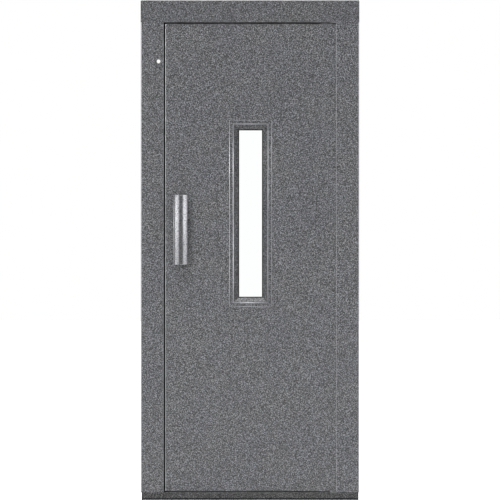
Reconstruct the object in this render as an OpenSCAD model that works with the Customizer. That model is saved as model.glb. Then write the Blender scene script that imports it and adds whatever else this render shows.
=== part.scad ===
// Single-leaf swing landing door in folded sheet steel, with its frame, window and pull handle.
// Millimetres. X runs to the right seen from the landing, -Y points at the landing, +Z is up.
// The origin is the centre of the threshold's underside, halfway through the frame's depth.
// The leaf stands closed. It turns about the pivot axis at pivot_x, pivot_y towards the landing.

/* [Doorway] */
// Clear width between the stops on the jambs
clear_w = 700; // [500:10:1100]
// Clear height from the threshold to the stop under the head
clear_h = 2000; // [1600:10:2500]
// Width of the stop that stands behind the leaf's edges
stop_w = 20; // [15:1:30]

/* [Frame] */
// Width of each jamb's face
jamb_w = 100; // [80:1:160]
// Height of the head's face
head_h = 96; // [70:1:160]
// Depth of the frame from its front to its back lips
frame_d = 80; // [78:1:120]
// Thickness of the frame's sheet
frame_t = 1.5; // [1:0.1:2]
// Inside radius of a fold
fold_r = 2.5; // [1:0.5:3]
// Width of the lips folded in along the frame's back
lip_w = 25; // [15:1:30]
// Diameter of the hole for the emergency key, in the lock jamb's face
key_hole_d = 16; // [10:1:20]
// Distance of the key hole and of the bolt slots below the head
key_drop = 168; // [100:1:400]
// Distance of the key hole from the doorway's edge
key_inset = 23; // [18:1:30]
// Height of the slots that the lock's bolt passes through
bolt_slot_h = 60; // [40:1:80]
// Width of the bolt slots
bolt_slot_w = 14; // [10:1:18]

/* [Threshold] */
// Height of the threshold's top above the floor
sill_h = 34; // [28:1:60]
// Thickness of the foot plate under the threshold
foot_t = 4; // [3:0.5:6]
// Height of the shadow gap between the foot plate and the threshold
foot_gap = 4; // [3:0.5:8]
// How much shorter the threshold is than the frame, at each end
sill_inset = 3.5; // [0:0.5:10]

/* [Leaf] */
// Thickness of the leaf over both skins
leaf_t = 40; // [36:1:50]
// Thickness of the leaf's skins
skin_t = 1.5; // [1:0.1:2]
// Running gap round the leaf, at the head, threshold, stop and hinge side
gap = 5; // [4:0.5:8]
// Running gap at the lock edge, a little wider because the edge swings on an arc
lock_gap = 5.5; // [5:0.5:9]
// Distance of the pivot axis behind the leaf's front
pivot_setback = 15; // [14:0.5:18]
// Thickness of the hinge stile's sheet
stile_t = 2; // [1.5:0.5:3]

/* [Window] */
// Width of the glass between the gaskets
pane_w = 98; // [60:1:300]
// Height of the glass between the gaskets
pane_h = 718; // [300:1:1200]
// Thickness of the laminated glass
glass_t = 8; // [6:1:12]
// Distance of the window's centre from the frame's middle
pane_x = 2.5; // [-50:0.5:50]
// Height of the window's centre above the floor
pane_z = 1233; // [900:1:1500]
// Width of the window moulding from the glass to its outer edge
rail_w = 42.5; // [34:0.5:60]
// Width of the moulding's flat outer band
band_w = 14.5; // [8:0.5:20]
// Height of the flat band above the leaf's skin
band_h = 3; // [2:0.5:5]
// Height of the ridge beside the band
ridge_h = 6; // [4:0.5:10]
// Width of the gasket that shows round the glass
gasket_lip = 3; // [2:0.5:6]
// Thickness of each gasket
gasket_t = 4; // [2:0.5:5]

/* [Handle] */
// Width of the handle's back plate
grip_w = 60; // [50:1:80]
// Height of the handle
grip_h = 297; // [200:1:500]
// Radius of the handle's two round ribs, the right one flush with the plate's edge
rib_r = 10; // [7:0.5:12]
// Distance between the ribs' centres
rib_pitch = 34.5; // [26:0.5:36]
// Finger room between the handle and the leaf
finger_gap = 30; // [25:1:45]
// Distance of the handle's centre from the lock edge of the doorway
grip_inset = 72; // [50:1:120]
// Height of the handle's centre above the floor
grip_z = 1162; // [900:1:1300]
// Distance between the centres of the handle's two feet
foot_pitch = 210; // [140:1:400]

/* [Pivots] */
// Diameter of the pivot pins
pin_d = 12; // [10:1:16]
// Length of each pin inside its bush
pin_grip = 24; // [16:1:40]
// Radial running clearance between pin and bush
pin_play = 0.05; // [0.02:0.01:0.1]
// Thickness of the pivot plates
pivot_plate_t = 2; // [1.5:0.5:3]

/* [Anchors] */
// Distance of the outer wall straps from the ends of the jamb
anchor_end = 266; // [100:1:400]
// Diameter of the anchor holes
anchor_hole_d = 11; // [9:0.5:13]

/* [Hidden] */
$fn = 48;
e = 1;                       // overrun of a cutting tool past the face it cuts
open_w = clear_w + 2 * stop_w;
open_h = clear_h + stop_w;
frame_w = open_w + 2 * jamb_w;
front = -frame_d / 2;
back = frame_d / 2;
head_z = sill_h + open_h;
frame_h = head_z + head_h;
hem_t = 2 * frame_t;
sill_w = frame_w - 2 * sill_inset;
sill_fold_r = 1;
sharp_r = 0.2;

// The leaf stands behind the hinge jamb's hemmed lip, so all its edges are recessed alike.
leaf_front = front + hem_t + gap;
leaf_back = leaf_front + leaf_t;
leaf_mid = (leaf_front + leaf_back) / 2;
leaf_x0 = -open_w / 2 + lock_gap;
leaf_z0 = sill_h + gap;
leaf_z1 = head_z - gap;
leaf_h = leaf_z1 - leaf_z0;
leaf_fold_r = 1;
stop_front = leaf_back + gap;

// The open leaf's front lands one gap clear of the lip, and its round nose turns in the jamb's pocket.
pivot_x = open_w / 2 - pivot_setback - gap;
pivot_y = leaf_front + pivot_setback;
nose_r = leaf_t - pivot_setback;
leaf_x1 = pivot_x + sqrt(nose_r * nose_r - pivot_setback * pivot_setback);
pocket_x = pivot_x + nose_r + gap;

key_x = -open_w / 2 - key_inset;
key_z = head_z - key_drop;
keeper_t = 3;
keeper_w = 26;
keeper_margin = 35;

rail_run = 1.5;              // width of the ridge's outer flank
ridge_w = 2.5;               // width of the ridge's crest
rail_wall = 3;
rail_depth = (leaf_t - glass_t) / 2 - gasket_t;
bevel_x = rail_w - band_w - rail_run - ridge_w;
rail_seat = gasket_lip + rail_wall + rail_depth * (bevel_x - gasket_lip) / (ridge_h + rail_depth);
window_margin = rail_seat + 1;
glass_cover = 8;             // how far the gaskets reach over the glass

grip_t = 4;
grip_x = -open_w / 2 + grip_inset;
grip_back = leaf_front - finger_gap;
rib_right = grip_w / 2 - rib_r;
rib_centres = [rib_right - rib_pitch, rib_right];
rib_wall = 3;
cap_t = 2;
post_r = 9;
rose_r = 14;
rose_t = 3;

bush_r = 11;
bush_floor = 3;
washer_slack = 0.2;
plate_w = 20;                // width of a pivot plate from the pivot axis to the jamb
plate_tail = 44;             // how far its rear part reaches the other way
plate_margin = 1;            // how far it reaches past the bush, and stays inside the jamb's pocket
pin_hole_play = 0.5;

anchor_low = sill_h + anchor_end;
anchor_high = head_z - anchor_end;
anchor_middle = (anchor_low + anchor_high) / 2;
strap_h = 40;
strap_t = 3;
strap_inset = 2;
bracket_leg = 60;
bracket_t = 3;
bracket_d = 40;
shoe_t = 3;

grey = [0.42, 0.43, 0.44];
dark_grey = [0.33, 0.33, 0.34];
steel = [0.62, 0.63, 0.65];
black = [0.08, 0.08, 0.08];

// ---- Folded sheet ----
// A fold path runs along one face of the sheet, with the sheet's thickness on its right.
// All turns are square.

function dir(a, b) = (b - a) / norm(b - a);
function right_of(d) = [d.y, -d.x];
function turns_right(path, i) =
    let (a = dir(path[i - 1], path[i]), b = dir(path[i], path[i + 1])) right_of(a) * b > 0;
function other_face(path, t) = [
    for (i = [0 : len(path) - 1])
        path[i]
            + t * (i > 0 ? right_of(dir(path[i - 1], path[i])) : [0, 0])
            + t * (i < len(path) - 1 ? right_of(dir(path[i], path[i + 1])) : [0, 0])
];
function reversed(list) = [for (i = [len(list) - 1 : -1 : 0]) list[i]];

// A square block at a corner, less the arc of radius r about the block's far corner.
// d points from the corner into the block.
module corner_piece(corner, d, size, r) {
    difference() {
        translate(corner + [min(d.x, 0) * size, min(d.y, 0) * size]) square(size);
        translate(corner + d * size) circle(r);
    }
}

// Sheet of thickness t folded along the path and extruded to length.
// Each bend is filled to its inside radius, then cut back to its outside radius.
// r is the inside radius of all bends, or a list with one for each.
module folded(path, t, r, length) {
    far = other_face(path, t);
    bends = [for (i = [1 : len(path) - 2]) [
        turns_right(path, i) ? path[i] : far[i],
        dir(path[i], path[i - 1]) + dir(path[i], path[i + 1]),
        is_list(r) ? r[i - 1] : r
    ]];
    difference() {
        union() {
            linear_extrude(length) polygon(concat(path, reversed(far)));
            for (b = bends) linear_extrude(length) corner_piece(b[0], b[1], b[2] + t, b[2]);
        }
        for (b = bends)
            translate([0, 0, -e]) linear_extrude(length + 2 * e)
                corner_piece(b[0], b[1], b[2] + t, b[2] + t);
    }
}

// Lays what was extruded to length along X, centred on the frame's middle, with its section in Y and Z
module along_x(length) {
    rotate([90, 0, 90]) translate([0, 0, -length / 2]) children();
}

// A slot cut through sheet that stands square to X, for the lock's bolt
module bolt_slot(x) {
    translate([x - 2 * keeper_t, leaf_mid - bolt_slot_w / 2, key_z - bolt_slot_h / 2])
        cube([4 * keeper_t, bolt_slot_w, bolt_slot_h]);
}

// ---- Frame ----

module lock_jamb() {
    edge = -open_w / 2;
    outer = -frame_w / 2;
    color(grey) difference() {
        translate([0, 0, sill_h]) folded([
            [edge + stop_w - lip_w, back], [edge + stop_w, back], [edge + stop_w, stop_front],
            [edge, stop_front], [edge, front], [outer, front], [outer, back], [outer + lip_w, back]
        ], frame_t, fold_r, open_h);
        translate([key_x, front - e, key_z]) rotate([-90, 0, 0]) cylinder(d = key_hole_d, h = frame_t + 2 * e);
        bolt_slot(edge);
    }
}

// The face folds back on itself in a hem, then runs round the pocket that the leaf's nose turns in
module hinge_jamb() {
    edge = open_w / 2;
    outer = frame_w / 2;
    tip_r = 0.8 * frame_t;
    color(grey) translate([0, 0, sill_h]) difference() {
        union() {
            folded([
                [outer - lip_w, back], [outer, back], [outer, front], [edge, front]
            ], frame_t, fold_r, open_h);
            folded([
                [pocket_x, front], [pocket_x, stop_front],
                [edge - stop_w, stop_front], [edge - stop_w, back], [edge - stop_w + lip_w, back]
            ], frame_t, fold_r, open_h);
            translate([edge, front, 0]) cube([pocket_x + frame_t - edge, hem_t, open_h]);
        }
        translate([0, 0, -e]) linear_extrude(open_h + 2 * e) {
            corner_piece([edge, front], [1, 1], tip_r, tip_r);
            corner_piece([edge, front + hem_t], [1, -1], tip_r, tip_r);
        }
    }
}

// The lower front fold is sharp, so that the head's face meets the jambs' faces flush
module head() {
    length = frame_w - 2 * frame_t;
    color(grey) along_x(length) folded([
        [back, head_z + lip_w], [back, head_z], [front, head_z],
        [front, frame_h], [back, frame_h], [back, frame_h - lip_w]
    ], frame_t, [fold_r, sharp_r, fold_r, fold_r], length);
}

// Plate welded over an end of the head, rounded like its folds
module head_end(side) {
    r = fold_r + frame_t;
    color(grey) translate([side * (frame_w - frame_t) / 2, 0, 0])
    along_x(frame_t) linear_extrude(frame_t) difference() {
        translate([front, head_z]) square([frame_d, head_h]);
        corner_piece([front, head_z], [1, 1], sharp_r + frame_t, sharp_r + frame_t);
        corner_piece([front, frame_h], [1, -1], r, r);
        corner_piece([back, frame_h], [-1, -1], r, r);
        corner_piece([back, head_z], [-1, 1], r, r);
    }
}

module head_stop() {
    color(grey) along_x(clear_w) folded([
        [back, head_z], [back, head_z - stop_w], [stop_front, head_z - stop_w], [stop_front, head_z]
    ], frame_t, fold_r, clear_w);
}

module threshold() {
    low = foot_t + foot_gap;
    color(dark_grey) along_x(sill_w) folded([
        [-frame_d / 5, low], [front + frame_t, low], [front + frame_t, sill_h],
        [back, sill_h], [back, low], [frame_d / 5, low]
    ], frame_t, sill_fold_r, sill_w);
}

// Foot plate with a raised pad that carries the threshold's lips
module threshold_foot() {
    pad = frame_d / 3;
    color(dark_grey) along_x(sill_w) linear_extrude(sill_w) polygon([
        [front + hem_t, 0], [back, 0], [back, foot_t], [pad, foot_t], [pad, foot_t + foot_gap],
        [-pad, foot_t + foot_gap], [-pad, foot_t], [front + hem_t, foot_t]
    ]);
}

// Plate welded inside a jamb's foot, between its reveal or pocket wall and its outer return
module jamb_shoe(x0, x1) {
    clear = frame_t + fold_r + 1;
    translate([x0, front + clear, sill_h]) cube([x1 - x0, stop_front - front - 2 * clear, shoe_t]);
}

// Angle welded in a jamb's top corner, against its outer return and the head's underside
module corner_bracket() {
    translate([0, -bracket_d / 2, head_z - bracket_leg]) cube([bracket_t, bracket_d, bracket_leg]);
    translate([0, -bracket_d / 2, head_z - bracket_t]) cube([bracket_leg, bracket_d, bracket_t]);
}

// Strap across a jamb's back lips, with the hole for one wall anchor in its middle
module wall_strap(side, z) {
    x0 = clear_w / 2 + strap_inset;
    length = frame_w / 2 - strap_inset - x0;
    color(steel) translate([side * (x0 + length / 2), back, z])
        difference() {
            translate([-length / 2, 0, -strap_h / 2]) cube([length, strap_t, strap_h]);
            translate([0, -e, 0]) rotate([-90, 0, 0]) cylinder(d = anchor_hole_d, h = strap_t + 2 * e);
        }
}

// ---- Pivots ----
// The bottom pivot is built at its real place; the top one is its mirror image.

module at_pivot(z, up) {
    translate([pivot_x, pivot_y, z]) mirror([0, 0, up ? 0 : 1]) children();
}

// Plate on the threshold or under the head, with a round pad under the pin and a tail along the jamb
module pivot_plate() {
    depth = 2 * (pivot_setback + gap - plate_margin);
    color(steel) linear_extrude(pivot_plate_t) {
        circle(bush_r + plate_margin);
        translate([0, -depth / 2]) square([plate_w, depth]);
        translate([-plate_tail, 0]) square([plate_tail + plate_w, depth / 2]);
    }
}

module pivot_pin() {
    color(steel) translate([0, 0, pivot_plate_t])
        cylinder(d = pin_d, h = gap - pivot_plate_t + skin_t + pin_grip);
}

// Bush welded on the inside of the leaf's end flange
module pivot_bush() {
    color(steel) translate([0, 0, gap + skin_t]) difference() {
        cylinder(r = bush_r, h = pin_grip + bush_floor + 1);
        translate([0, 0, -e]) cylinder(r = pin_d / 2 + pin_play, h = pin_grip + 1 + e);
    }
}

module thrust_washer() {
    color(steel) at_pivot(sill_h, true) translate([0, 0, pivot_plate_t]) difference() {
        cylinder(r = bush_r, h = gap - pivot_plate_t - washer_slack);
        translate([0, 0, -e]) cylinder(r = pin_d / 2 + pin_hole_play, h = gap + e);
    }
}

// ---- Leaf ----

// The leaf seen from above: a square slab with a round nose about the pivot axis
module leaf_plan() {
    translate([leaf_x0, leaf_front]) square([pivot_x - leaf_x0, leaf_t]);
    intersection() {
        translate([pivot_x, pivot_y]) circle(nose_r);
        translate([pivot_x - e, leaf_front]) square([nose_r + 2 * e, leaf_t]);
    }
}

module window_cutout(y) {
    translate([pane_x - pane_w / 2 - window_margin, y, pane_z - pane_h / 2 - window_margin])
        cube([pane_w + 2 * window_margin, 2 * skin_t + 2 * e, pane_h + 2 * window_margin]);
}

// Pan with the front face, the folded lock edge and the flanges that close the top and bottom
module leaf_front_skin() {
    color(grey) difference() {
        union() {
            translate([0, 0, leaf_z0]) folded([
                [leaf_x1, leaf_front], [leaf_x0, leaf_front], [leaf_x0, leaf_back]
            ], skin_t, leaf_fold_r, leaf_h);
            for (z = [leaf_z0, leaf_z1 - skin_t])
                translate([0, 0, z]) linear_extrude(skin_t) leaf_plan();
        }
        window_cutout(leaf_front - e);
        bolt_slot(leaf_x0);
        translate([pivot_x, pivot_y, leaf_z0 - e])
            cylinder(r = pin_d / 2 + pin_hole_play, h = leaf_h + 2 * e);
    }
}

module leaf_back_skin() {
    color(grey) difference() {
        translate([leaf_x0 + skin_t, leaf_back - skin_t, leaf_z0 + skin_t])
            cube([pivot_x - leaf_x0 - skin_t, skin_t, leaf_h - 2 * skin_t]);
        window_cutout(leaf_back - 2 * skin_t);
    }
}

// Curved sheet that joins the skins round the hinge edge, lapped inside both of them
module hinge_stile() {
    lap = 18;
    color(grey) translate([0, 0, leaf_z0 + skin_t]) linear_extrude(leaf_h - 2 * skin_t) {
        intersection() {
            translate([pivot_x, pivot_y]) difference() {
                circle(nose_r);
                circle(nose_r - stile_t);
            }
            translate([pivot_x, leaf_front + skin_t]) square([nose_r + e, leaf_t - skin_t]);
        }
        translate([leaf_x1 - 2 * lap, leaf_front + skin_t]) square([2 * lap, stile_t]);
        translate([pivot_x - lap, leaf_back - skin_t - stile_t]) square([lap + e, stile_t]);
    }
}

// Slotted plate inside the lock edge that the lock's bolt shoots into
module keeper_plate() {
    color(steel) difference() {
        translate([leaf_x0 + skin_t, leaf_mid - keeper_w / 2, key_z - bolt_slot_h / 2 - keeper_margin])
            cube([keeper_t, keeper_w, bolt_slot_h + 2 * keeper_margin]);
        bolt_slot(leaf_x0);
    }
}

// ---- Window ----

module at_window(rear) {
    translate([pane_x, leaf_mid, pane_z]) mirror([0, rear ? 1 : 0, 0]) children();
}

module ring(inner_w, inner_h, border, depth) {
    rotate([90, 0, 0]) linear_extrude(depth, center = true) difference() {
        square([inner_w + 2 * border, inner_h + 2 * border], center = true);
        square([inner_w, inner_h], center = true);
    }
}

module window_glass() {
    color([0.8, 0.9, 0.9, 0.3]) at_window(false)
        cube([pane_w + 2 * glass_cover, glass_t, pane_h + 2 * glass_cover], center = true);
}

module gasket(rear) {
    color(black) at_window(rear) translate([0, -(glass_t + gasket_t) / 2, 0])
        ring(pane_w, pane_h, glass_cover, gasket_t);
}

// Moulding section: x from the glass outwards, y above the leaf's face. Flat band, ridge, then the bevel.
rail_section = [
    [rail_w, 0], [rail_w, band_h], [rail_w - band_w, band_h], [rail_w - band_w - rail_run, ridge_h],
    [bevel_x, ridge_h], [gasket_lip, -rail_depth], [gasket_lip + rail_wall, -rail_depth], [rail_seat, 0]
];

// One mitred length of moulding, on the side that turn quarter turns lead to from the left
module window_rail(rear, turn) {
    upright = turn % 2 == 0;
    half_w = (upright ? pane_w : pane_h) / 2;
    half_l = (upright ? pane_h : pane_w) / 2;
    far = rail_w + e;
    color(grey) at_window(rear) rotate([0, 90 * turn, 0]) intersection() {
        translate([-half_w, -leaf_t / 2, -half_l - far])
            linear_extrude(2 * (half_l + far)) polygon([for (p = rail_section) -p]);
        rotate([90, 0, 0]) linear_extrude(2 * leaf_t, center = true) polygon([
            [-half_w, -half_l], [-half_w, half_l],
            [-half_w - far, half_l + far], [-half_w - far, -half_l - far]
        ]);
    }
}

// ---- Handle ----

// Two round ribs on a flat back plate; x across the handle, y towards the leaf
module grip_outline() {
    translate([-grip_w / 2, -grip_t]) square([grip_w, grip_t]);
    for (x = rib_centres) translate([x, -grip_t]) intersection() {
        circle(rib_r);
        translate([-rib_r - e, -rib_r - e]) square([2 * (rib_r + e), rib_r + grip_t / 2 + e]);
    }
}

module at_grip(z) {
    translate([grip_x, grip_back, grip_z + z]) children();
}

module handle_grip() {
    length = grip_h - 2 * cap_t;
    color(steel) at_grip(-length / 2) linear_extrude(length) difference() {
        grip_outline();
        for (x = rib_centres) translate([x, -grip_t - 1]) intersection() {
            circle(rib_r - rib_wall);
            translate([-rib_r, -rib_r]) square([2 * rib_r, rib_r + 1]);
        }
    }
}

module handle_cap(up) {
    color(steel) at_grip(up ? grip_h / 2 - cap_t : -grip_h / 2) linear_extrude(cap_t) grip_outline();
}

// Round post from the leaf's skin to the handle's back plate, on a rose
module handle_foot(up) {
    color(steel) at_grip((up ? 1 : -1) * foot_pitch / 2) rotate([-90, 0, 0]) {
        cylinder(r = post_r, h = finger_gap);
        translate([0, 0, finger_gap - rose_t]) cylinder(r = rose_r, h = rose_t);
    }
}

// ---- Nodes ----

lock_jamb();
hinge_jamb();
head();
head_end(-1);  // head_end_lock
head_end(1);  // head_end_hinge
head_stop();
threshold();
threshold_foot();
color(grey) jamb_shoe(-frame_w / 2 + frame_t, -open_w / 2 - frame_t);  // lock_jamb_shoe
color(grey) jamb_shoe(pocket_x + frame_t, frame_w / 2 - frame_t);  // hinge_jamb_shoe
color(grey) translate([-frame_w / 2 + frame_t, 0, 0]) corner_bracket();  // lock_corner_bracket
color(grey) translate([frame_w / 2 - frame_t, 0, 0]) mirror([1, 0, 0]) corner_bracket();  // hinge_corner_bracket
wall_strap(-1, anchor_low);  // lock_strap_low
wall_strap(-1, anchor_middle);  // lock_strap_middle
wall_strap(-1, anchor_high);  // lock_strap_high
wall_strap(1, anchor_low);  // hinge_strap_low
wall_strap(1, anchor_middle);  // hinge_strap_middle
wall_strap(1, anchor_high);  // hinge_strap_high
at_pivot(sill_h, true) pivot_plate();  // bottom_pivot_plate
at_pivot(sill_h, true) pivot_pin();  // bottom_pivot_pin
thrust_washer();
at_pivot(head_z, false) pivot_plate();  // top_pivot_plate
at_pivot(head_z, false) pivot_pin();  // top_pivot_pin
leaf_front_skin();
leaf_back_skin();
hinge_stile();
keeper_plate();
at_pivot(sill_h, true) pivot_bush();  // bottom_pivot_bush
at_pivot(head_z, false) pivot_bush();  // top_pivot_bush
window_glass();
gasket(false);  // front_gasket
gasket(true);  // rear_gasket
window_rail(false, 0);  // front_rail_left
window_rail(false, 1);  // front_rail_top
window_rail(false, 2);  // front_rail_right
window_rail(false, 3);  // front_rail_bottom
window_rail(true, 0);  // rear_rail_left
window_rail(true, 1);  // rear_rail_top
window_rail(true, 2);  // rear_rail_right
window_rail(true, 3);  // rear_rail_bottom
handle_grip();
handle_cap(true);  // handle_cap_top
handle_cap(false);  // handle_cap_bottom
handle_foot(true);  // handle_foot_top
handle_foot(false);  // handle_foot_bottom
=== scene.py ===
"""Single-leaf swing landing door of folded sheet steel: its finishes, window, handle and studio.

Metres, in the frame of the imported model: X to the right seen from the landing, -Y towards the
landing, Z up from the floor. The sections follow the door as it is put together.
"""
import math

import bmesh
import bpy
from mathutils import Matrix, Vector


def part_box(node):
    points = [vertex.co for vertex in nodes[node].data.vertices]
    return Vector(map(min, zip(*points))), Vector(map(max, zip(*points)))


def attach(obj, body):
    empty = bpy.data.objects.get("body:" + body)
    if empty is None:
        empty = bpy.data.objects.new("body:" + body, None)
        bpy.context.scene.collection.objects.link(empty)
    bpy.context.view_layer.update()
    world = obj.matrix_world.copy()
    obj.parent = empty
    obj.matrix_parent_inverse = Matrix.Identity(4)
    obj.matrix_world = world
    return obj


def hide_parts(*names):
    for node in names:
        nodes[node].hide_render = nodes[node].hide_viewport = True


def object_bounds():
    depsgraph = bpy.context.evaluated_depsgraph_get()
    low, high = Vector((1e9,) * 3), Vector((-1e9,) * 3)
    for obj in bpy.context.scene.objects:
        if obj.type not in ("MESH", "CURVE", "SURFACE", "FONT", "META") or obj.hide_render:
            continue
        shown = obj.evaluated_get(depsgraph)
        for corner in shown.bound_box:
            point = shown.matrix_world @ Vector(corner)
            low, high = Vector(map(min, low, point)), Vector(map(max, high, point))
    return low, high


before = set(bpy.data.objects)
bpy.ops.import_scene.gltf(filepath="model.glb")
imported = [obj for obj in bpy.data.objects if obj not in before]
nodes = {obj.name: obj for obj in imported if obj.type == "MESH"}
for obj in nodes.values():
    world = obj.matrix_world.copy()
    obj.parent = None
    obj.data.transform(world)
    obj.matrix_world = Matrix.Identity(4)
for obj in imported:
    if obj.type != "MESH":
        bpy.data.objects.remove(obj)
cad_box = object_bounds()

# ---- Door frame ----
# Two jambs, a head with end plates and a stop, all folded from 1.5 mm steel sheet and welded.
# They are sprayed with grey hammered enamel, a stoving paint whose flakes gather in small cells
# as it dries, so the sheet shows a fine light and dark grain under a glossy skin.

MM = 0.001
DOOR_MIDDLE = cad_box[1].z / 2
CELL = 3.7 * MM          # one cell of the hammered grain, which is 3 to 5 mm across
FLAKE_DRIFT = 4.0 * MM   # half the distance from one pale patch of flakes to the next
GRAIN_TILT = (0.6, 0.4, 0.2)   # radians, so that no face lies along the grain's own axes
# The largest part of the normal where a fold begins, and where its painted highlight is full
FOLD_BEGINS, FOLD_ROUND = 0.997, 0.95


def colour(code):
    """The linear colour of an sRGB hex code, opaque."""
    channels = [int(code[i:i + 2], 16) / 255 for i in (1, 3, 5)]
    linear = [c / 12.92 if c <= 0.04045 else ((c + 0.055) / 1.055) ** 2.4 for c in channels]
    return (*linear, 1.0)


def add(material, kind, inputs=(), **settings):
    """Adds a node to a material, world or lamp. A socket given as an input is linked, a value is set."""
    tree = material.node_tree
    node = tree.nodes.new(kind)
    for name, value in settings.items():
        setattr(node, name, value)
    for name, value in dict(inputs).items():
        if isinstance(value, bpy.types.NodeSocket):
            tree.links.new(value, node.inputs[name])
        else:
            node.inputs[name].default_value = value
    return node


def new_material(name):
    """An empty material, ready for its nodes."""
    material = bpy.data.materials.new(name)
    material.use_nodes = True
    material.node_tree.nodes.clear()
    return material


def painted_fold_highlight(material, place, normal, fold_highlight_strength, reach):
    """How much painted highlight lies over the round of an outer fold.

    There the normal lies along no axis. Reach keeps out the folds at the back and inside.
    """
    facing = add(material, "ShaderNodeVectorMath", {0: normal}, operation="ABSOLUTE")
    part = add(material, "ShaderNodeSeparateXYZ", {"Vector": facing.outputs["Vector"]})
    across = add(material, "ShaderNodeMath", {
        0: part.outputs["X"], 1: part.outputs["Y"]
    }, operation="MAXIMUM")
    most = add(material, "ShaderNodeMath", {
        0: across.outputs["Value"], 1: part.outputs["Z"]
    }, operation="MAXIMUM")
    round_fold = add(material, "ShaderNodeMapRange", {
        "Value": most.outputs["Value"], "From Min": FOLD_BEGINS, "From Max": FOLD_ROUND,
        "To Min": 0.0, "To Max": fold_highlight_strength
    })
    from_behind = add(material, "ShaderNodeVectorMath", {
        0: place, 1: (0.0, 1.0, DOOR_MIDDLE)
    }, operation="SUBTRACT")
    outward = add(material, "ShaderNodeVectorMath", {
        0: from_behind.outputs["Vector"], 1: normal
    }, operation="DOT_PRODUCT")
    outer = add(material, "ShaderNodeMapRange", {
        "Value": outward.outputs["Value"], "From Min": reach, "From Max": reach + 0.1
    })
    return add(material, "ShaderNodeMath", {
        0: round_fold.outputs["Result"], 1: outer.outputs["Result"]
    }, operation="MULTIPLY").outputs["Value"]


def hammered_enamel(
    name, dark, light, fold_highlight_colour=None, fold_highlight_strength=0.8, reach=0.85, depth=0.6, roughness=0.36, gloss=0.5
):
    """Flake enamel: small soft domes with dark hollows between them, paler and darker in drifts.

    Over a fold it is painted lighter and more metallic in the given fold colour, as a painted highlight.
    """
    material = new_material(name)
    surface = add(material, "ShaderNodeTexCoord")
    place, normal = surface.outputs["Object"], surface.outputs["Normal"]
    turned = add(material, "ShaderNodeMapping", {
        "Vector": place, "Rotation": GRAIN_TILT
    }).outputs["Vector"]
    # Slow waves, about two cells long, push the cells about so that no rows show
    flow = add(material, "ShaderNodeTexNoise", {"Vector": turned, "Scale": 0.45 / CELL, "Detail": 1.0})
    shift = add(material, "ShaderNodeVectorMath", {
        0: flow.outputs["Color"], 1: (0.6 * CELL, 0.6 * CELL, 0.6 * CELL)
    }, operation="MULTIPLY")
    wavy = add(material, "ShaderNodeVectorMath", {0: turned, 1: shift.outputs["Vector"]}, operation="ADD")
    cells = add(material, "ShaderNodeTexVoronoi", {
        "Vector": wavy.outputs["Vector"], "Scale": 1 / CELL, "Randomness": 0.8
    })
    dome = add(material, "ShaderNodeMapRange", {
        "Value": cells.outputs["Distance"], "From Min": 0.2, "From Max": 0.8, "To Min": 1.0, "To Max": 0.0
    }, interpolation_type="SMOOTHSTEP")
    flakes = add(material, "ShaderNodeTexNoise", {"Vector": turned, "Scale": 1 / FLAKE_DRIFT, "Detail": 0.0})
    tone = add(material, "ShaderNodeMapRange", {
        "Value": flakes.outputs["Fac"], "From Min": 0.3, "From Max": 0.7, "To Min": 0.0, "To Max": 1.0
    })
    grain = add(material, "ShaderNodeMath", {
        0: dome.outputs["Result"], 1: tone.outputs["Result"]
    }, operation="MULTIPLY")
    paint = add(material, "ShaderNodeMix", {
        "Factor": grain.outputs["Value"], "A": colour(dark), "B": colour(light)
    }, data_type="RGBA")
    drift = add(material, "ShaderNodeTexNoise", {"Vector": place, "Scale": 6.0, "Detail": 2.0})
    cast = add(material, "ShaderNodeMix", {
        "Factor": drift.outputs["Fac"], "A": colour("#e9ebf4"), "B": colour("#fffcf2")
    }, data_type="RGBA")
    coat = add(material, "ShaderNodeMix", {
        "Factor": 1.0, "A": paint.outputs["Result"], "B": cast.outputs["Result"]
    }, data_type="RGBA", blend_type="MULTIPLY")
    bump = add(material, "ShaderNodeBump", {
        "Height": dome.outputs["Result"], "Strength": depth, "Distance": 0.15 * MM
    })
    look = {
        "Base Color": coat.outputs["Result"], "Roughness": roughness, "Specular IOR Level": gloss,
        "Normal": bump.outputs["Normal"]
    }
    # Painted highlight: a lighter, more metallic colour over the rounds of the outer folds
    if fold_highlight_colour:
        fold = painted_fold_highlight(material, place, normal, fold_highlight_strength, reach)
        look["Base Color"] = add(material, "ShaderNodeMix", {
            "Factor": fold, "A": coat.outputs["Result"], "B": colour(fold_highlight_colour)
        }, data_type="RGBA").outputs["Result"]
        look["Metallic"] = fold
    skin = add(material, "ShaderNodeBsdfPrincipled", look)
    add(material, "ShaderNodeOutputMaterial", {"Surface": skin.outputs["BSDF"]})
    return material


def finish_nodes(material, names):
    """Gives CAD nodes their material."""
    for name in names:
        nodes[name].data.materials.clear()
        nodes[name].data.materials.append(material)


# The frame's own enamel, with a painted highlight down its outer folds and none on the folds by the leaf
GREY_ENAMEL = hammered_enamel("grey_hammered_enamel", "#0b0b0d", "#8f9197", fold_highlight_colour="#bcbdc1")
finish_nodes(GREY_ENAMEL, [
    "lock_jamb", "head_end_lock", "head_end_hinge", "head_stop", "lock_jamb_shoe", "hinge_jamb_shoe",
    "lock_corner_bracket", "hinge_corner_bracket"
])
# The same on the hinge jamb, whose painted highlight also runs down its inner fold, by the leaf's rolled
# edge
finish_nodes(hammered_enamel(
    "hinge_jamb_hammered_enamel", "#0b0b0d", "#8f9197", fold_highlight_colour="#bcbdc1", reach=0.2
), ["hinge_jamb"])
# The head's enamel is a shade darker, and the painted highlight on its folds is weak
finish_nodes(hammered_enamel(
    "head_hammered_enamel", "#0a0a0c", "#85878d", fold_highlight_colour="#9a9b9f", fold_highlight_strength=0.25
), ["head"])

# ---- Threshold ----
# A folded steel sill on a foot plate, in an enamel painted darker as painted shade at the foot of the door;
# its grain is shallow and dull.

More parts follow.
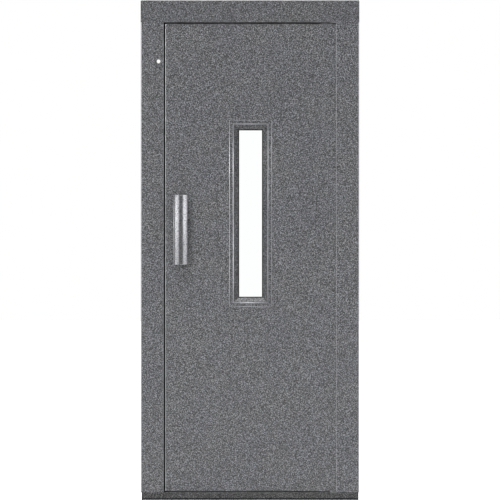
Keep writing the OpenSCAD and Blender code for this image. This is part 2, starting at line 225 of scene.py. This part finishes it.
# Almost without shine, so that the gap under the leaf stays dark
finish_nodes(hammered_enamel(
    "sill_enamel_painted_shade", "#0c0c0d", "#727274", depth=0.4, roughness=0.55, gloss=0.25
), ["threshold", "threshold_foot"])

# ---- Straps and pivots ----
# Flat steel straps for the wall anchors, the pivot plates, pins and bushes, and the keeper plate
# behind the bolt's slot. All are zinc plated, which leaves a cloudy blue-grey with fine rolling lines.


def zinc_plate(name):
    """Dull zinc plate: a cloudy blue-grey metal, blurred and here and there yellowed."""
    material = new_material(name)
    place = add(material, "ShaderNodeTexCoord").outputs["Object"]
    cloud = add(material, "ShaderNodeTexNoise", {"Vector": place, "Scale": 60.0, "Detail": 4.0})
    tone = add(material, "ShaderNodeMix", {
        "Factor": cloud.outputs["Fac"], "A": colour("#6d7176"), "B": colour("#a3a39e")
    }, data_type="RGBA")
    stretch = add(material, "ShaderNodeMapping", {"Vector": place, "Scale": (2500.0, 2500.0, 60.0)})
    lines = add(material, "ShaderNodeTexNoise", {"Vector": stretch.outputs["Vector"], "Scale": 1.0})
    gloss = add(material, "ShaderNodeMapRange", {
        "Value": cloud.outputs["Fac"], "From Min": 0.3, "From Max": 0.7, "To Min": 0.32, "To Max": 0.52
    })
    bump = add(material, "ShaderNodeBump", {
        "Height": lines.outputs["Fac"], "Strength": 0.15, "Distance": 0.05 * MM
    })
    skin = add(material, "ShaderNodeBsdfPrincipled", {
        "Base Color": tone.outputs["Result"], "Metallic": 1.0, "Roughness": gloss.outputs["Result"],
        "Normal": bump.outputs["Normal"]
    })
    add(material, "ShaderNodeOutputMaterial", {"Surface": skin.outputs["BSDF"]})
    return material


# A cloudy, blurred metal: it tells the fixings from the enamelled sheet
finish_nodes(zinc_plate("dull_zinc_plate"), [
    name for name in nodes if "strap" in name or "pivot" in name
] + ["thrust_washer", "keeper_plate"])

# ---- Leaf ----
# The front skin is folded round the lock edge, the back skin lies inside it, and the rolled hinge
# edge joins the two. All three are in the frame's enamel.

# The leaf's folds carry the strongest painted highlight, so its edges show as bright lines
finish_nodes(hammered_enamel(
    "leaf_hammered_enamel", "#0b0b0d", "#8f9197", fold_highlight_colour="#dcdde0", fold_highlight_strength=1.0
), ["leaf_front_skin", "leaf_back_skin", "hinge_stile"])

# ---- Window ----
# Laminated safety glass between two black rubber gaskets.


def black_rubber(name):
    """Extruded rubber: nearly black, dull, with a fine chalky bloom."""
    material = new_material(name)
    place = add(material, "ShaderNodeTexCoord").outputs["Object"]
    bloom = add(material, "ShaderNodeTexNoise", {"Vector": place, "Scale": 120.0, "Detail": 3.0})
    tone = add(material, "ShaderNodeMix", {
        "Factor": bloom.outputs["Fac"], "A": colour("#080808"), "B": colour("#1a1a19")
    }, data_type="RGBA")
    bump = add(material, "ShaderNodeBump", {
        "Height": bloom.outputs["Fac"], "Strength": 0.2, "Distance": 0.1 * MM
    })
    skin = add(material, "ShaderNodeBsdfPrincipled", {
        "Base Color": tone.outputs["Result"], "Roughness": 0.7, "Specular IOR Level": 0.25,
        "Normal": bump.outputs["Normal"]
    })
    add(material, "ShaderNodeOutputMaterial", {"Surface": skin.outputs["BSDF"]})
    return material


def float_glass(name):
    """Clear float glass: polished, with the least tint of green."""
    material = new_material(name)
    skin = add(material, "ShaderNodeBsdfPrincipled", {
        "Base Color": colour("#fdfffe"), "Roughness": 0.0, "IOR": 1.5, "Transmission Weight": 1.0
    })
    add(material, "ShaderNodeOutputMaterial", {"Surface": skin.outputs["BSDF"]})
    return material


# A matt black line round the glass
finish_nodes(black_rubber("black_rubber"), ["front_gasket", "rear_gasket"])
# Clear enough for the white room to show through it
finish_nodes(float_glass("clear_laminated_glass"), ["window_glass"])

# ---- Window mouldings ----
# On each face four lengths of extruded aluminium moulding, mitred at the corners and enamelled with
# the leaf. Each has a flat band outside, a raised ridge, and a bevel down to the gasket.

SAME_PLACE = 1e-6   # corners that are nearer than this, in metres, are one

# The section's corners in mm: in from the outer edge, and out from the leaf's face
BAND_EDGE, BAND_FOOT, RIDGE_OUT, RIDGE_IN = (0, 3), (14.5, 3), (16, 6), (18.5, 6)
BEVEL_END, BEVEL_BACK, SEAT = (38.6, -12), (35.6, -12), (22.5, 0)
MOULDING = [(0, 0), BAND_EDGE, BAND_FOOT, RIDGE_OUT, RIDGE_IN, BEVEL_END, BEVEL_BACK, SEAT]
ROUNDING = {BAND_EDGE: 1.6, RIDGE_OUT: 1.2, RIDGE_IN: 1.2}
CREST = RIDGE_OUT[1] * MM - 0.3 * MM   # faces above this height lie on the ridge's crest


def link_piece(name, mesh, materials, body):
    """Turns a finished bmesh into an object of the scene that rides on a body."""
    data = bpy.data.meshes.new(name)
    mesh.to_mesh(data)
    mesh.free()
    for material in materials:
        data.materials.append(material)
    piece = bpy.data.objects.new(name, data)
    bpy.context.scene.collection.objects.link(piece)
    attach(piece, body)
    return piece


def bevel_edges(mesh, edges, width, segments, slot=0):
    """Rounds edges, shades the new faces smooth and gives them a material slot."""
    made = bmesh.ops.bevel(
        mesh, geom=edges, offset=width, offset_type="OFFSET", segments=segments, profile=0.5,
        affect="EDGES", clamp_overlap=True, material=-1
    )
    for face in made["faces"]:
        face.smooth = True
        face.material_index = slot


def edge_highlight_metal(name, dull, bright, metallic):
    """A bright, slightly blurred metal laid on edges and crests as a painted highlight."""
    material = new_material(name)
    place = add(material, "ShaderNodeTexCoord").outputs["Object"]
    patch = add(material, "ShaderNodeTexNoise", {"Vector": place, "Scale": 140.0, "Detail": 3.0})
    tone = add(material, "ShaderNodeMix", {
        "Factor": patch.outputs["Fac"], "A": colour(dull), "B": colour(bright)
    }, data_type="RGBA")
    skin = add(material, "ShaderNodeBsdfPrincipled", {
        "Base Color": tone.outputs["Result"], "Metallic": metallic, "Roughness": 0.3
    })
    add(material, "ShaderNodeOutputMaterial", {"Surface": skin.outputs["BSDF"]})
    return material


# Painted highlight, bright: the ridges and rounds on the handle's side of the window, lit from the left, as
# bright lines
BRIGHT_HIGHLIGHT_EDGE = edge_highlight_metal("painted_highlight_edge_bright", "#6e6f73", "#cfd0d4", metallic=1.0)
# A weaker painted highlight on the other ridges, as paler lines
PALE_HIGHLIGHT_EDGE = edge_highlight_metal("painted_highlight_edge_pale", "#56575b", "#a2a3a7", metallic=0.55)
# The leaf's enamel painted a shade darker on the mouldings' bands and bevels, as painted shade in the
# window's recess
FLAT_ENAMEL = hammered_enamel("flat_hammered_enamel", "#0a0a0c", "#86888e")


def moulding(name, half_length, place, edge):
    """A mitred length along X, with its outer edge on Y = 0, its width in +Y and its height in +Z."""
    mesh = bmesh.new()
    section = mesh.faces.new([mesh.verts.new((-half_length, w * MM, h * MM)) for w, h in MOULDING])
    far_end = bmesh.ops.extrude_face_region(mesh, geom=[section])["geom"]
    far_verts = [v for v in far_end if isinstance(v, bmesh.types.BMVert)]
    bmesh.ops.translate(mesh, vec=(2 * half_length, 0, 0), verts=far_verts)
    for vert in mesh.verts:
        vert.co.x -= math.copysign(vert.co.y, vert.co.x)
    bmesh.ops.recalc_face_normals(mesh, faces=mesh.faces)
    # The rounded corners and the ridge's crest take the second slot, a painted highlight
    for (w, h), width in ROUNDING.items():
        corner = [
            e for e in mesh.edges if e.verts[0].co.x * e.verts[1].co.x < 0
            and all(max(abs(v.co.y - w * MM), abs(v.co.z - h * MM)) < SAME_PLACE for v in e.verts)
        ]
        bevel_edges(mesh, corner, width * MM, 4, slot=1)
    for face in mesh.faces:
        if face.calc_center_median().z > CREST:
            face.material_index = 1
    bmesh.ops.transform(mesh, matrix=place, verts=mesh.verts)
    piece = link_piece(name + "_moulding", mesh, [FLAT_ENAMEL, edge], "leaf")
    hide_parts(name)


def frame_axes(along, inward, outward, origin):
    """The matrix that lays local X, Y and Z along three directions from an origin."""
    return Matrix.Translation(origin) @ Matrix((along, inward, outward)).transposed().to_4x4()


X, Y, Z = Vector((1, 0, 0)), Vector((0, 1, 0)), Vector((0, 0, 1))
for face, out in (("front", -Y), ("rear", Y)):
    low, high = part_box(face + "_rail_left")[0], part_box(face + "_rail_right")[1]
    face_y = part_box("leaf_front_skin")[0].y if face == "front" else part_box("leaf_back_skin")[1].y
    centre = Vector(((low.x + high.x) / 2, face_y, (low.z + high.z) / 2))
    half_w, half_h = (high.x - low.x) / 2, (high.z - low.z) / 2
    for side, inward, half_length, reach in (
        ("left", X, half_h, half_w), ("right", -X, half_h, half_w),
        ("top", -Z, half_w, half_h), ("bottom", Z, half_w, half_h)
    ):
        along = inward.cross(out)
        # The left ridges take the brighter painted highlight, as the light falls from the left
        edge = BRIGHT_HIGHLIGHT_EDGE if side == "left" else PALE_HIGHLIGHT_EDGE
        place = frame_axes(along, inward, out, centre - inward * reach)
        moulding(f"{face}_rail_{side}", half_length, place, edge)

# ---- Handle ----
# A pull handle of one aluminium extrusion: a flat back plate with two half-round ribs down its
# front, which are ground bright where hands polish them. A cap closes each end.

RIB_RADIUS = 10 * MM
LEFT_RIB_INSET = 15.5 * MM   # from the plate's left edge to the left rib's middle


def satin_aluminium(name):
    """Ground aluminium: bright, softly blurred, with a mottle left by the grinding."""
    material = new_material(name)
    place = add(material, "ShaderNodeTexCoord").outputs["Object"]
    cells = add(material, "ShaderNodeTexVoronoi", {"Vector": place, "Scale": 1 / CELL})
    tone = add(material, "ShaderNodeMix", {
        "Factor": cells.outputs["Distance"], "A": colour("#dcdde1"), "B": colour("#4c4d50")
    }, data_type="RGBA")
    skin = add(material, "ShaderNodeBsdfPrincipled", {
        "Base Color": tone.outputs["Result"], "Metallic": 0.7, "Roughness": 0.75
    })
    add(material, "ShaderNodeOutputMaterial", {"Surface": skin.outputs["BSDF"]})
    return material


# Two soft bright lines down the ribs
BRIGHT = satin_aluminium("ground_aluminium")
# The plate behind them, painted darker as painted shade in the valley between the ribs
HANDLE_SHADED_ENAMEL = hammered_enamel("handle_enamel_painted_shade", "#131315", "#6e7074", fold_highlight_colour="#bcbdc1")
grip_low, grip_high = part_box("handle_grip")
cap_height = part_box("handle_cap_top")[1].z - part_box("handle_cap_top")[0].z
plate_front = grip_low.y + RIB_RADIUS
rib_places = (grip_low.x + LEFT_RIB_INSET, grip_high.x - RIB_RADIUS)


def grip_outline(z):
    """The extrusion's outline at a height, as one face that looks up."""
    mesh = bmesh.new()
    corners = [(grip_low.x, grip_high.y), (grip_high.x, grip_high.y)]
    chain = [mesh.verts.new((x, y, z)) for x, y in corners]
    for centre in reversed(rib_places):
        start = mesh.verts.new((centre + RIB_RADIUS, plate_front, z))
        mesh.edges.new((chain[-1], start))
        arc = bmesh.ops.spin(
            mesh, geom=[start], cent=(centre, plate_front, z), axis=(0, 0, 1), dvec=(0, 0, 0),
            angle=-math.pi, steps=20, use_merge=False, use_duplicate=False
        )["geom_last"]
        chain.append(next(v for v in arc if isinstance(v, bmesh.types.BMVert)))
    corner = mesh.verts.new((grip_low.x, plate_front, z))
    mesh.edges.new((chain[-1], corner))
    mesh.edges.new((corner, chain[0]))
    mesh.edges.new((chain[0], chain[1]))
    bmesh.ops.remove_doubles(mesh, verts=mesh.verts, dist=SAME_PLACE)
    bmesh.ops.contextual_create(mesh, geom=list(mesh.edges))
    return mesh


def grip_length(name, low, high, top_round=0.0, bottom_round=0.0):
    """A length of the extrusion, with its ends rounded where it is a cap."""
    mesh = grip_outline(low)
    end = bmesh.ops.extrude_face_region(mesh, geom=list(mesh.faces))["geom"]
    end_verts = [v for v in end if isinstance(v, bmesh.types.BMVert)]
    bmesh.ops.translate(mesh, vec=(0, 0, high - low), verts=end_verts)
    bmesh.ops.recalc_face_normals(mesh, faces=mesh.faces)
    for face in mesh.faces:
        on_rib = face.calc_center_median().y < plate_front - 0.1 * MM and abs(face.normal.z) < 0.5
        face.smooth = on_rib
        face.material_index = 1 if on_rib else 0
    # A rounded top rim takes the painted highlight of slot 2, as it is lit from above; a rounded bottom rim
    # takes the ribs' metal
    for height, width in ((high, top_round), (low, bottom_round)):
        if width:
            rim = [e for e in mesh.edges if all(abs(v.co.z - height) < SAME_PLACE for v in e.verts)]
            bevel_edges(mesh, rim, width, 4, slot=2 if height == high else 1)
    upright = [e for e in mesh.edges if abs(e.verts[0].co.z - e.verts[1].co.z) > 0.5 * (high - low)]
    back_corners = [e for e in upright if abs(e.verts[0].co.y - grip_high.y) < SAME_PLACE]
    left_corner = [
        e for e in upright if abs(e.verts[0].co.x - grip_low.x) < SAME_PLACE
        and abs(e.verts[0].co.y - plate_front) < SAME_PLACE
    ]
    bevel_edges(mesh, back_corners, 0.8 * MM, 2)
    # The plate's left front corner takes the painted highlight too, as a bright line on the side the light
    # comes from
    bevel_edges(mesh, left_corner, 1.2 * MM, 3, slot=2)
    piece = link_piece(name + "_piece", mesh, [HANDLE_SHADED_ENAMEL, BRIGHT, BRIGHT_HIGHLIGHT_EDGE], "leaf")
    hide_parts(name)


grip_length("handle_grip", grip_low.z, grip_high.z)
grip_length("handle_cap_top", grip_high.z, grip_high.z + cap_height, top_round=2.0 * MM)
grip_length("handle_cap_bottom", grip_low.z - cap_height, grip_low.z, bottom_round=3.0 * MM)

# ---- Handle feet ----
# Two turned posts that hold the handle off the leaf. Each is screwed through the skin, and a round
# rose at its foot covers the hole.

POST_RADIUS = 9 * MM
ROSE = 3 * MM   # the rose's thickness

for name in ("handle_foot_top", "handle_foot_bottom"):
    low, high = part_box(name)
    centre = (low + high) / 2
    rose_radius = (high.x - low.x) / 2
    # Radius and depth: up the post, round a fillet, across the rose and over its rounded rim
    profile = [
        (0, low.y), (POST_RADIUS, low.y), (POST_RADIUS, high.y - ROSE - 2.5 * MM),
        (POST_RADIUS + 0.7 * MM, high.y - ROSE - 0.8 * MM), (POST_RADIUS + 2.4 * MM, high.y - ROSE),
        (rose_radius - 1.2 * MM, high.y - ROSE), (rose_radius - 0.35 * MM, high.y - ROSE + 0.35 * MM),
        (rose_radius, high.y - ROSE + 1.2 * MM), (rose_radius, high.y), (0, high.y)
    ]
    mesh = bmesh.new()
    verts = [mesh.verts.new((centre.x + r, y, centre.z)) for r, y in profile]
    for pair in zip(verts, verts[1:]):
        mesh.edges.new(pair)
    bmesh.ops.spin(
        mesh, geom=list(mesh.verts) + list(mesh.edges), cent=(centre.x, 0, centre.z), axis=(0, 1, 0),
        dvec=(0, 0, 0), angle=2 * math.pi, steps=64, use_merge=True, use_duplicate=False
    )
    bmesh.ops.remove_doubles(mesh, verts=mesh.verts, dist=SAME_PLACE)
    bmesh.ops.recalc_face_normals(mesh, faces=mesh.faces)
    for part in mesh.faces:
        part.smooth = abs(part.normal.y) < 0.999
    foot = link_piece(name + "_piece", mesh, [GREY_ENAMEL], "leaf")
    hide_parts(name)

# ---- Studio ----
# A white room: the floor and the world are white to the eye and in reflections. The light falls
# mostly from the left and above, so the handle throws its shadow to the right and the window's
# lower bevel shines. Two weaker panels light the back.

WHITE = (1, 1, 1, 1)
FLOOR_REACH = 15   # metres from the door to the floor's edge

scene = bpy.context.scene
scene.view_settings.view_transform = "Standard"


def seen_directly(owner):
    """1 for camera, glossy and transmission rays, 0 for the rays that light the object."""
    path = add(owner, "ShaderNodeLightPath")
    first = add(owner, "ShaderNodeMath", {
        0: path.outputs["Is Camera Ray"], 1: path.outputs["Is Glossy Ray"]
    }, operation="MAXIMUM")
    return add(owner, "ShaderNodeMath", {
        0: first.outputs["Value"], 1: path.outputs["Is Transmission Ray"]
    }, operation="MAXIMUM").outputs["Value"]


world = bpy.data.worlds.new("white_studio")
scene.world = world
world.use_nodes = True
world.node_tree.nodes.clear()
room = add(world, "ShaderNodeBackground", {"Color": WHITE, "Strength": 0.15})
white = add(world, "ShaderNodeBackground", {"Color": WHITE, "Strength": 1.0})
both = add(world, "ShaderNodeMixShader", {
    0: seen_directly(world), 1: room.outputs["Background"], 2: white.outputs["Background"]
})
add(world, "ShaderNodeOutputWorld", {"Surface": both.outputs["Shader"]})

floor_mesh = bmesh.new()
bmesh.ops.create_grid(floor_mesh, x_segments=1, y_segments=1, size=FLOOR_REACH)
floor_data = bpy.data.meshes.new("studio_floor")
floor_mesh.to_mesh(floor_data)
floor_mesh.free()
studio_floor = bpy.data.objects.new("studio_floor", floor_data)
scene.collection.objects.link(studio_floor)
floor_paint = new_material("white_floor")
matt = add(floor_paint, "ShaderNodeBsdfDiffuse", {"Color": colour("#e6e6e6")})
glow = add(floor_paint, "ShaderNodeEmission", {"Color": WHITE, "Strength": 0.82})
lit = add(floor_paint, "ShaderNodeAddShader", {0: matt.outputs["BSDF"], 1: glow.outputs["Emission"]})
seen = add(floor_paint, "ShaderNodeMixShader", {
    0: seen_directly(floor_paint), 1: matt.outputs["BSDF"], 2: lit.outputs["Shader"]
})
add(floor_paint, "ShaderNodeOutputMaterial", {"Surface": seen.outputs["Shader"]})
floor_data.materials.append(floor_paint)

DOOR_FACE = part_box("lock_jamb")[0].y


def far_panel(name, azimuth, elevation, strength, width):
    """A softbox so far away that it lights the whole height evenly. Azimuth is from the front."""
    lamp = bpy.data.lights.new(name, "SUN")
    lamp.energy = strength
    lamp.angle = math.radians(width)
    side, height = math.radians(azimuth), math.radians(elevation)
    beam = Vector((
        -math.sin(side) * math.cos(height), math.cos(side) * math.cos(height), -math.sin(height)
    ))
    holder = bpy.data.objects.new(name, lamp)
    holder.rotation_euler = beam.to_track_quat("-Z", "Y").to_euler()
    scene.collection.objects.link(holder)


far_panel("left_panel", -36, 18, 1.45, 20)
far_panel("front_panel", 0, 48, 0.5, 30)
far_panel("right_panel", 32, 18, 0.38, 20)
far_panel("sky_panel", -12, 62, 2.4, 30)
far_panel("back_left_panel", -140, 48, 1.1, 30)
far_panel("back_right_panel", 140, 48, 0.9, 30)

# Straight on and level, with the door's height just filling the picture
CAMERA_DISTANCE = 6.0
VIEW_HEIGHT = 2.1485
CAMERA_HEIGHT = 1.0755
camera_data = bpy.data.cameras.new("camera")
camera_data.sensor_width = 36
camera_data.lens = 36 * CAMERA_DISTANCE / VIEW_HEIGHT
camera = bpy.data.objects.new("camera", camera_data)
camera.location = (0, DOOR_FACE - CAMERA_DISTANCE, CAMERA_HEIGHT)
camera.rotation_euler = (math.pi / 2, 0, 0)
scene.collection.objects.link(camera)
scene.camera = camera
